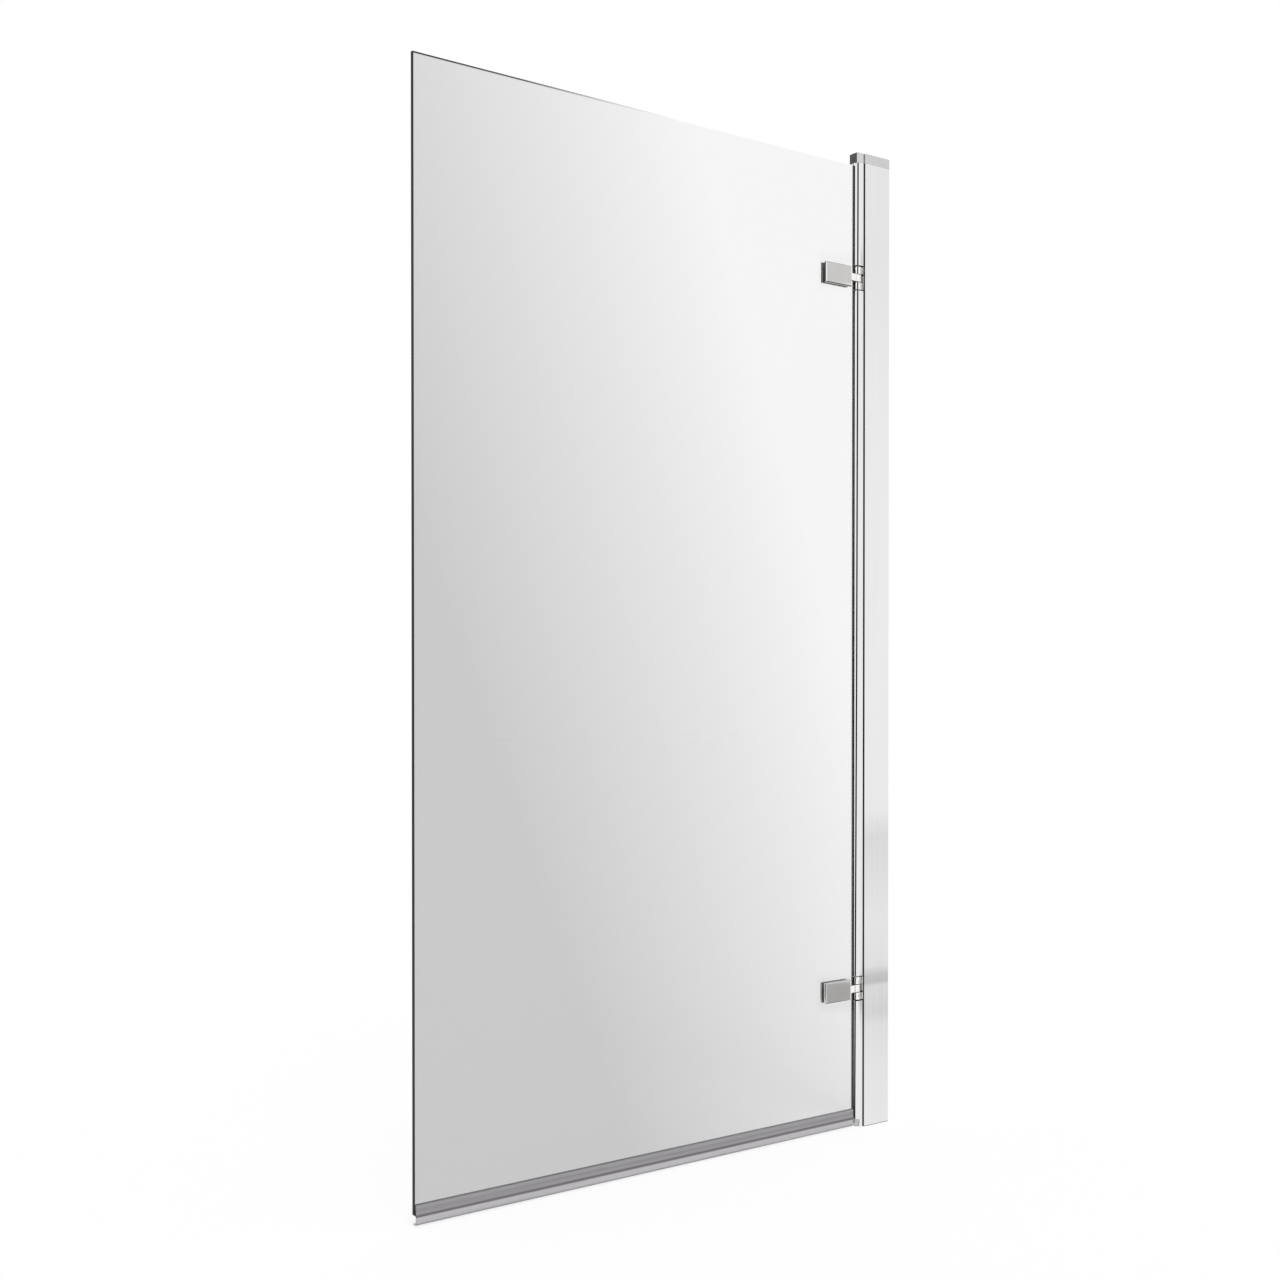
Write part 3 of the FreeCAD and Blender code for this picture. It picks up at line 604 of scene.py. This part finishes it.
def inPaintedShade(face, size):
    # painted shade: the narrow edges at the mouth, the channel behind them and the line at the foot, where
    # shade falls
    middle = face.calc_center_median()
    atMouth = middle.x < size["mouth"] and face.normal.x < -0.3
    atFoot = middle.z < size["shadowLine"]
    inChannel = abs(middle.y) < size["channelHalf"] and middle.x < size["channelBack"]
    return atMouth or atFoot or inChannel and abs(face.normal.y) > 0.9


def makeWallProfile(size):
    bm = mergedCopy("wall_profile", size["ease"])
    cutAcross(bm, (0, 0, size["shadowLine"]), (0, 0, 1))
    # faces in shade take the painted shade finish
    for face in bm.faces:
        face.material_index = 1 if inPaintedShade(face, size) else 0
    piece = finishPiece(bm, "wallProfile", "wall_profile")
    # painted shade on the faces picked above
    piece.data.materials.append(materials["paintedShadeEdge"])


capEase = {"wall": 0.3, "hinge": 0.25, "foot": 0.2}


def makeCaps(ease):
    finishPiece(mergedCopy("wall_profile_cap", ease["wall"]), "wallProfileCap", "wall_profile_cap")
    hingeCap = mergedCopy("hinge_profile_cap", ease["hinge"])
    finishPiece(hingeCap, "hingeProfileCap", "hinge_profile_cap", materials["platedCap"])
    foot = mergedCopy("hinge_profile_foot", ease["foot"])
    finishPiece(foot, "hingeProfileFoot", "hinge_profile_foot", materials["polishedNose"])


# hinges

leafSize = {
    "back": 10.0,
    "half": 6.0,
    "knuckle": 6.5,
    "bore": 2.52,
    "reach": 16.7,
    "reliefBack": 7.2,
    "reliefReach": 6.2,
    "ease": 0.3,
    "inset": 0.1,  # block between the knuckles
    "overlap": 0.5,
}


def makeHingeLeaf(level, size):
    bm = bmesh.new()
    back, half, knuckle = size["back"], size["half"], size["knuckle"]
    reach, reliefReach = size["reach"], size["reliefReach"]
    sweep = -(180 + 2 * math.degrees(math.acos(half / knuckle)))
    start = math.sqrt(knuckle ** 2 - half ** 2)
    outline = [(start, -half), ((0, 0), sweep, 40), (back, half), (back, -half)]
    drawOutline(bm, (back, -half), outline, -reach)
    addCircle(bm, size["bore"], 32, z=-reach)
    fillAndRaise(bm, reach - reliefReach)
    soften(bm, size["ease"])
    upper = bmesh.ops.duplicate(bm, geom=bm.verts[:] + bm.edges[:] + bm.faces[:])
    shift(bm, z=reach + reliefReach, verts=vertsIn(upper))
    side, end = half - size["inset"], reliefReach + size["overlap"]
    addBlock(bm, (size["reliefBack"], -side, -end), (back, side, end))
    shift(bm, x=pinX, z=hingeLevels[level])
    finishPiece(bm, level + "HingeLeaf", level + "_hinge_leaf")


pinSize = {"radius": 2.5, "reach": 16.7, "head": 4.5, "top": 17.7, "tip": 0.3, "under": 0.1, "ease": 0.4,
           "round": 0.12}


def makeHingePin(level, size):
    bm = bmesh.new()
    radius, reach, head, top = (size[key] for key in ("radius", "reach", "head", "top"))
    tip, under, ease, rounded = (size[key] for key in ("tip", "under", "ease", "round"))
    drawHalf(bm, [
        (0, -reach), (radius - tip, -reach), (radius, tip - reach), (radius, reach),
        (head - under, reach), (head, reach + under), (head, top - ease),
        (head - rounded, top - rounded), (head - ease, top), (0, top),
    ])
    spinRound(bm)
    shift(bm, x=pinX, z=hingeLevels[level])
    finishPiece(bm, level + "HingePin", level + "_hinge_pin")


washerSize = {"radius": 6.0, "bore": 2.52, "thickness": 0.8, "seats": (-6.2, 5.4)}


def makeThrustWashers(level, size):
    bm = bmesh.new()
    for seat in size["seats"]:
        disc = bmesh.new()
        for radius in (size["radius"], size["bore"]):
            addCircle(disc, radius, 48, z=seat)
        fillAndRaise(disc, size["thickness"])
        joinInto(bm, disc)
    shift(bm, x=pinX, z=hingeLevels[level])
    # painted shade: the washers take the darkened nylon that shows the shade between the knuckles
    finishPiece(bm, level + "ThrustWashers", level + "_thrust_washers", materials["paintedShadeNylon"])


clampSize = {
    "far": -67.5,
    "near": -17.5,
    "half": 15.0,
    "glassSide": 4.0,
    "face": 8.0,
    "bevel": 1.2,
    "ease": 0.18,
    "neckIn": -18.7,
    "neckRoot": -7.6,
    "neckCentre": (-6.905, -39.907),
    "neckTurn": -27.98,
    "neckEase": 0.3,
    "knuckleTurn": 317.8,
    "knuckleHigh": 10.6,
    "bore": 3.57,
    "screws": (-55.5, -29.5),
    "screwRecess": 5.6,
    "margin": 0.1,  # how near an edge lies to the face that it is picked by
}


def makeFrontClamp(level, size):
    # the knuckle and its hollow neck, then the bevelled plate
    bm = bmesh.new()
    inner, foot = -size["glassSide"], -size["knuckleHigh"] / 2
    outline = [
        (size["neckIn"], size["neckRoot"]),
        (size["near"], size["neckRoot"]),
        (size["neckCentre"], size["neckTurn"], 14),
        ((0, 0), size["knuckleTurn"], 56),
        (size["neckIn"], inner),
    ]
    drawOutline(bm, (size["neckIn"], inner), outline, foot)
    addCircle(bm, size["bore"], 40, z=foot)
    fillAndRaise(bm, size["knuckleHigh"])
    soften(bm, size["neckEase"], 3)
    low, high = (size["far"], -size["face"], -size["half"]), (size["near"], inner, size["half"])
    plate = addBlock(bm, low, high)
    rim = list({
        edge for vert in plate for edge in vert.link_edges
        if all(end.co.y < size["margin"] - size["face"] for end in edge.verts)
    })
    bevelEdges(bm, rim, size["bevel"], 1)
    plateEdges = [
        edge for edge in sharpEdges(bm, 30)
        if all(vert.co.x < size["near"] + 0.01 for vert in edge.verts)
        and any(abs(vert.co.z) > size["knuckleHigh"] for vert in edge.verts)
    ]
    bevelEdges(bm, plateEdges, size["ease"], 2)
    shift(bm, x=pinX, z=hingeLevels[level])
    finishPiece(bm, level + "FrontClamp", level + "_front_clamp")


def makeBackClamp(level, size):
    # drawn flat with its face down, then stood up behind the glass
    bm = bmesh.new()
    far, near, half, margin = (size[key] for key in ("far", "near", "half", "margin"))
    outline = [(near, -half), (near, half), (far, half), (far, -half)]
    drawOutline(bm, (far, -half), outline, -size["glassSide"])
    for across in size["screws"]:
        addCircle(bm, size["screwRecess"], 40, across, -size["glassSide"])
    fillAndRaise(bm, size["glassSide"] - size["face"])
    rim = [
        edge for edge in bm.edges
        if all(vert.co.z < margin - size["face"] for vert in edge.verts)
        and all(abs(vert.co.y) > half - margin or not far + margin < vert.co.x < near - margin
                for vert in edge.verts)
    ]
    bevelEdges(bm, rim, size["bevel"], 1)
    soften(bm, size["ease"], 2, 30)
    turn(bm, 90, "X")
    shift(bm, x=pinX, z=hingeLevels[level])
    finishPiece(bm, level + "BackClamp", level + "_back_clamp")


coverSize = {
    "levels": (75.0, 709.25, 1343.5),
    "across": -25.0,
    "half": [
        (6.1, 9.8), (7.0, 9.8), (7.0, 13.1), (6.87, 13.62), (6.5, 13.98), (5.95, 14.15), (0, 14.2),
        (0, 13.3), (6.1, 13.3), (6.1, 9.8),
    ],
}


def makeLockCovers(size):
    bm = bmesh.new()
    for level in size["levels"]:
        cover = bmesh.new()
        drawHalf(cover, size["half"])
        spinRound(cover)
        turn(cover, -90, "X")
        shift(cover, x=size["across"], z=level)
        joinInto(bm, cover)
    finishPiece(bm, "lockScrewCovers", "lock_screw_covers")


# pane and seal

paneSize = {"low": (-785.4, -3.0, 15.0), "high": (-65.4, 3.0, 1415.0), "arris": 0.9}


def makeGlass(size):
    bm = bmesh.new()
    addBlock(bm, size["low"], size["high"])
    rim = [edge for edge in bm.edges if abs(edge.verts[0].co.y - edge.verts[1].co.y) < 0.1]
    bevelEdges(bm, rim, size["arris"], 1)
    clear, paintedEdge, top = range(3)
    # the pane's faces stay clear; its side and bottom edges take the painted reflection finish, its top
    # edge the one that clears towards the hinge
    for face in bm.faces:
        if abs(face.normal.y) > 0.99:
            face.material_index = clear
        else:
            face.material_index = top if face.normal.z > 0.5 else paintedEdge
    piece = finishPiece(bm, "glassPane", "glass_panel", crease=20)
    for finish in ("paintedEdgeReflection", "topEdge"):
        piece.data.materials.append(materials[finish])


sealSize = {
    "from": -783.4,
    "to": -66.4,
    "start": (-4.1, 26.7),
    "section": [
        (-4.1, 24.1), (-3.85, 23.9), (-4.1, 23.7), (-4.1, 19.9), (-3.85, 19.7), (-4.1, 19.5), (-4.1, 4.8),
        ((-1.5, 4.8), 90, 10), (3.6, 2.2), (4.0, 2.5), (4.0, 3.0), (3.6, 3.5), (-1.5, 3.5),
        ((-1.5, 4.8), -90, 10), (-2.8, 13.2), (3.8, 13.2), (4.1, 13.5), (4.1, 26.7), (3.8, 27.0),
        (3.3, 27.0), (3.1, 26.6), (3.1, 15.0), (-3.1, 15.0), (-3.1, 26.6), (-3.3, 27.0), (-3.8, 27.0),
        (-4.1, 26.7),
    ],
}
layAlong = Matrix(((0, 0, 1, 0), (1, 0, 0, 0), (0, 1, 0, 0), (0, 0, 0, 1)))  # flat Y and Z, length on X


def makeSeal(size):
    bm = bmesh.new()
    drawOutline(bm, size["start"], size["section"])
    fillAndRaise(bm, size["to"] - size["from"])
    bmesh.ops.transform(bm, matrix=layAlong, verts=bm.verts)
    shift(bm, x=size["from"])
    finishPiece(bm, "dripSeal", "bottom_seal", crease=40)


makeHingeProfile(hingeProfileSize)
makeWallProfile(wallProfileSize)
makeCaps(capEase)
for level in hingeLevels:
    makeHingeLeaf(level, leafSize)
    makeHingePin(level, pinSize)
    makeThrustWashers(level, washerSize)
    makeFrontClamp(level, clampSize)
    makeBackClamp(level, clampSize)
makeLockCovers(coverSize)
makeGlass(paneSize)
makeSeal(sealSize)


# stage

studio = {
    "white": 1.0,
    "ambient": 0.55,
    "sunStrength": 1.73,
    "sunHeight": 55.0,
    "sunTurn": 250.0,
    "sunSpread": 30.0,
    "floorSize": 12.0,
    "floorColour": (0.2, 0.2, 0.2),
    "floorGlow": 0.8,
}


def seenRays(tree, *kinds):
    # 1 for the named kinds of ray, else 0
    lightPath = addNode(tree, "ShaderNodeLightPath", (-700, 500))
    total = lightPath.outputs[kinds[0]]
    for kind in kinds[1:]:
        total = mathNode(tree, "MAXIMUM", total, lightPath.outputs[kind], place=(-500, 500))
    return total


def mirrorRays(tree):
    # 1 for what metal or glass mirrors, also where that is seen through the pane, else 0
    lightPath = addNode(tree, "ShaderNodeLightPath", (-900, 900))
    depth = lightPath.outputs["Glossy Depth"]
    mirrored = mathNode(tree, "GREATER_THAN", depth, 0.5, place=(-700, 900))
    seen = seenRays(tree, "Is Glossy Ray", "Is Transmission Ray")
    return mathNode(tree, "MULTIPLY", mirrored, seen, place=(-500, 900))


def addFloor(settings):
    # glows white where it is looked at, keeps the shadow and is clear to what is mirrored
    bm = bmesh.new()
    bmesh.ops.create_grid(bm, x_segments=1, y_segments=1, size=settings["floorSize"])
    mesh = bpy.data.meshes.new("floor")
    bm.to_mesh(mesh)
    bm.free()
    floor = bpy.data.objects.new("floor", mesh)
    bpy.context.scene.collection.objects.link(floor)
    made, tree, shader = newMaterial("paleFloor")
    shader.inputs["Base Color"].default_value = (*settings["floorColour"], 1)
    shader.inputs["Roughness"].default_value = 1.0
    shader.inputs["Specular IOR Level"].default_value = 0.0
    looks = seenRays(tree, "Is Camera Ray", "Is Glossy Ray", "Is Transmission Ray")
    glow = addNode(tree, "ShaderNodeEmission", (0, -300))
    power = mathNode(tree, "MULTIPLY", looks, settings["floorGlow"], place=(-200, -300))
    tree.links.new(power, glow.inputs["Strength"])
    both = addNode(tree, "ShaderNodeAddShader", (200, 0))
    tree.links.new(shader.outputs["BSDF"], both.inputs[0])
    tree.links.new(glow.outputs["Emission"], both.inputs[1])
    clear = addNode(tree, "ShaderNodeBsdfTransparent", (200, -200))
    shown = mixShaders(tree, mirrorRays(tree), both.outputs["Shader"], clear.outputs["BSDF"], (400, 0))
    showInstead(tree, shown)
    mesh.materials.append(made)
    floor.visible_glossy = False


# what metal mirrors: tones by azimuth, in degrees from +X towards +Y, and by the sine of the height
tallest = 0.3
room = {
    "bands": [(0, 1.0), (60, 0.92), (120, 0.85), (165, 1.0), (360, 1.0)],
    # at the height of the lower hinge
    "lowBands": [
        (0, 1.0), (60, 0.92), (120, 0.85), (142, 0.92), (148, 0.2), (190, 0.2), (214, 1.0), (284, 1.0),
        (287, 0.2), (295, 0.2), (297, 1.0), (360, 1.0),
    ],
    "lowShare": [
        (-0.3, 0.0), (-0.2065, 0.0), (-0.2045, 1.0), (-0.1930, 1.0), (-0.1910, 0.0), (0.3, 0.0),
    ],
    # a dark upright edge, and how many degrees it leans at each height
    "darkEdge": [(0, 0.0), (211, 0.0), (215, 1.0), (243, 1.0), (247, 0.0), (360, 0.0)],
    "lean": [(-0.3, -33.0), (0.0, 0.0), (0.3, 16.0)],
    # far above and far below, and the sines between which each comes in
    "steep": [
        ((0.45, 0.6), [
            (0, 0.5), (10, 0.12), (32, 0.12), (45, 0.9), (300, 1.0), (330, 0.62), (352, 0.56), (360, 0.5),
        ]),
        ((-0.45, -0.6), [(0, 0.05), (26, 0.06), (40, 0.5), (300, 0.6), (325, 0.04), (360, 0.05)]),
    ],
}

# narrow ranges of azimuth with tones by height, for the faces that see them in the photo's view
windows = {
    "wallProfile": (
        [(313.3, 0.0), (313.7, 1.0), (318, 1.0), (321, 0.0)],
        [
            (-0.3, 0.93), (-0.226, 0.93), (-0.207, 0.66), (-0.193, 0.66), (-0.18, 0.93), (-0.15, 0.95),
            (-0.14, 0.90), (-0.115, 0.90), (-0.09, 1.0), (0.15, 1.0), (0.3, 0.91),
        ],
    ),
    "plateEnds": (
        [(123, 0.0), (126, 1.0), (141, 1.0), (144, 0.0)],
        [
            (-0.3, 1.0), (-0.2065, 1.0), (-0.2045, 0.62), (-0.1930, 0.62), (-0.1910, 1.0), (0.226, 1.0),
            (0.234, 0.09), (0.3, 0.09),
        ],
    ),
    "plates": (
        [(311.9, 0.0), (312.1, 1.0), (313.36, 1.0), (313.46, 0.0)],
        [
            (-0.3, 1.0), (-0.2115, 1.0), (-0.2090, 0.40), (-0.1910, 0.40), (-0.1885, 1.0), (0.2385, 1.0),
            (0.2410, 0.63), (0.2590, 0.63), (0.2615, 1.0), (0.3, 1.0),
        ],
    ),
    "levelFaces": (
        [(45.4, 0.0), (45.8, 1.0), (48.2, 1.0), (48.6, 0.0)],
        [
            (-0.3, 0.5), (-0.29, 1.0), (-0.254, 1.0), (-0.250, 0.04), (-0.238, 0.04), (-0.234, 1.0),
            (0.185, 1.0), (0.189, 0.14), (0.213, 0.14), (0.217, 1.0), (0.3, 1.0),
        ],
    ),
}


def rampOver(tree, source, stops, low, high):
    # stops in their own unit, over a source that runs from 0 to 1
    return colourRamp(tree, source, [((place - low) / (high - low), tone) for place, tone in stops])


def byAzimuth(tree, around, stops):
    return rampOver(tree, around, stops, 0, 360)


def byHeight(tree, rise, stops):
    return rampOver(tree, rise, stops, -tallest, tallest)


def windowShare(tree, around, stops):
    # the narrow range is spread over the whole ramp, so that its sides stay crisp
    low, high = stops[0][0], stops[-1][0]
    return rampOver(tree, spreadRange(tree, around, low / 360, high / 360), stops, low, high)


def leaningEdge(tree, around, rise):
    # the dark edge, turned further at each height
    low, high = room["lean"][0][1], room["lean"][-1][1]
    shares = [(place, (degrees - low) / (high - low)) for place, degrees in room["lean"]]
    leaned = spreadRange(tree, byHeight(tree, rise, shares), 0.0, 1.0, low / 360, high / 360, (-450, 800))
    return byAzimuth(tree, mathNode(tree, "SUBTRACT", around, leaned, place=(-450, 600)), room["darkEdge"])


def roomTone(tree):
    coords = addNode(tree, "ShaderNodeTexCoord", (-1300, 0))
    parts = addNode(tree, "ShaderNodeSeparateXYZ", (-1100, 0))
    tree.links.new(coords.outputs["Generated"], parts.inputs["Vector"])
    x, y, sine = parts.outputs
    angle = mathNode(tree, "ARCTAN2", y, x, place=(-900, 0))
    turns = mathNode(tree, "MULTIPLY", angle, 1 / (2 * math.pi), place=(-750, 0))
    around = mathNode(tree, "FRACT", turns, place=(-600, 0))
    rise = spreadRange(tree, sine, -tallest, tallest, place=(-900, -300))
    tone = mixColours(
        tree, byAzimuth(tree, around, room["bands"]), byAzimuth(tree, around, room["lowBands"]),
        byHeight(tree, rise, room["lowShare"]),
    )
    for sides, tones in windows.values():
        share = windowShare(tree, around, sides)
        part = mixColours(tree, (1, 1, 1, 1), byHeight(tree, rise, tones), share, place=(-200, 300))
        tone = mixColours(tree, tone, part, blend="MULTIPLY")
    lit = addNode(tree, "ShaderNodeInvert", (-200, 600))
    tree.links.new(leaningEdge(tree, around, rise), lit.inputs["Color"])
    tone = mixColours(tree, tone, lit.outputs["Color"], blend="MULTIPLY")
    for limits, stops in room["steep"]:
        share = spreadRange(tree, sine, *limits, place=(-600, 700))
        tone = mixColours(tree, tone, byAzimuth(tree, around, stops), share, place=(-200, 700))
    return tone


def addWorld(settings):
    # soft light on the part, white where it is looked at and the room where it is mirrored
    world = bpy.data.worlds.new("studioWorld")
    bpy.context.scene.world = world
    world.use_nodes = True
    tree = world.node_tree
    white = (1, 1, 1, 1)
    light = tree.nodes["Background"]
    light.inputs["Color"].default_value = white
    light.inputs["Strength"].default_value = settings["ambient"]
    behind = addNode(tree, "ShaderNodeBackground", (0, 200), Color=white, Strength=settings["white"])
    mirrored = addNode(tree, "ShaderNodeBackground", (0, -200), Strength=settings["white"])
    tree.links.new(roomTone(tree), mirrored.inputs["Color"])
    looks = seenRays(tree, "Is Camera Ray", "Is Transmission Ray")
    plainView = mixShaders(
        tree, looks, light.outputs["Background"], behind.outputs["Background"], (250, 0)
    )
    shown = mixShaders(tree, mirrorRays(tree), plainView, mirrored.outputs["Background"], (450, 0))
    tree.links.new(shown, tree.nodes["World Output"].inputs["Surface"])


def addSun(settings):
    light = bpy.data.lights.new("softSun", "SUN")
    light.energy = settings["sunStrength"]
    light.angle = math.radians(settings["sunSpread"])
    lamp = bpy.data.objects.new("softSun", light)
    bpy.context.scene.collection.objects.link(lamp)
    height, turned = math.radians(settings["sunHeight"]), math.radians(settings["sunTurn"])
    level = math.cos(height)
    towards = Vector((level * math.cos(turned), level * math.sin(turned), math.sin(height)))
    lamp.rotation_euler = towards.to_track_quat("Z", "Y").to_euler()
    lamp.visible_glossy = False
    lamp.visible_transmission = False


cameraView = {
    "place": (-1.64403, -1.67871, 0.66704),
    "yaw": 35.441,
    "pitch": -0.561,
    "lens": 43.599,
    "sensor": 36.0,
    "rise": 0.03927,
    "nearest": 0.01,
    "farthest": 50.0,
}


def addCamera(view):
    data = bpy.data.cameras.new("photoCamera")
    data.lens = view["lens"]
    data.sensor_width = view["sensor"]
    data.shift_y = view["rise"]
    data.clip_start = view["nearest"]
    data.clip_end = view["farthest"]
    camera = bpy.data.objects.new("photoCamera", data)
    bpy.context.scene.collection.objects.link(camera)
    camera.location = view["place"]
    camera.rotation_euler = (math.radians(90 + view["pitch"]), 0, math.radians(-view["yaw"]))
    bpy.context.scene.camera = camera


addFloor(studio)
addWorld(studio)
addSun(studio)
addCamera(cameraView)
bpy.context.scene.view_settings.view_transform = "Standard"
print("stage set")
